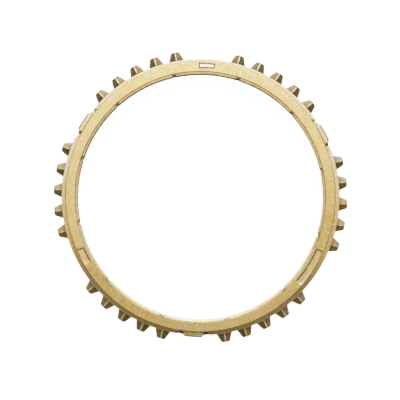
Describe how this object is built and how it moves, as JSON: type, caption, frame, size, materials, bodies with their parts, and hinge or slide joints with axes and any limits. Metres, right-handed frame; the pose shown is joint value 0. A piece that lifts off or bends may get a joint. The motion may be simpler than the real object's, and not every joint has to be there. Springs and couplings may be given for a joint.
{
  "type": "synchronizer ring",
  "caption": "Brass synchronizer ring with grouped pointed spline teeth, index lugs and a grooved inner friction cone, which brings a gearbox gear to shaft speed before the sleeve engages.",
  "frame": {"origin": "on the ring's axis, in the plane of its gear-side face, which is the face it lies on", "axes": "+Z along the ring's axis from the gear side to the hub side; +X through the middle tooth of one group; the three lugs stand at 30, 150 and 270 degrees from +X"},
  "size_m": [0.13, 0.1276, 0.012],
  "materials": {
    "brass": "satin, fine-grained forged skin with a turned land and a threaded friction cone"
  },
  "bodies": {
    "root": {"synchronizer_ring": "brass"}
  },
  "joints": []
}
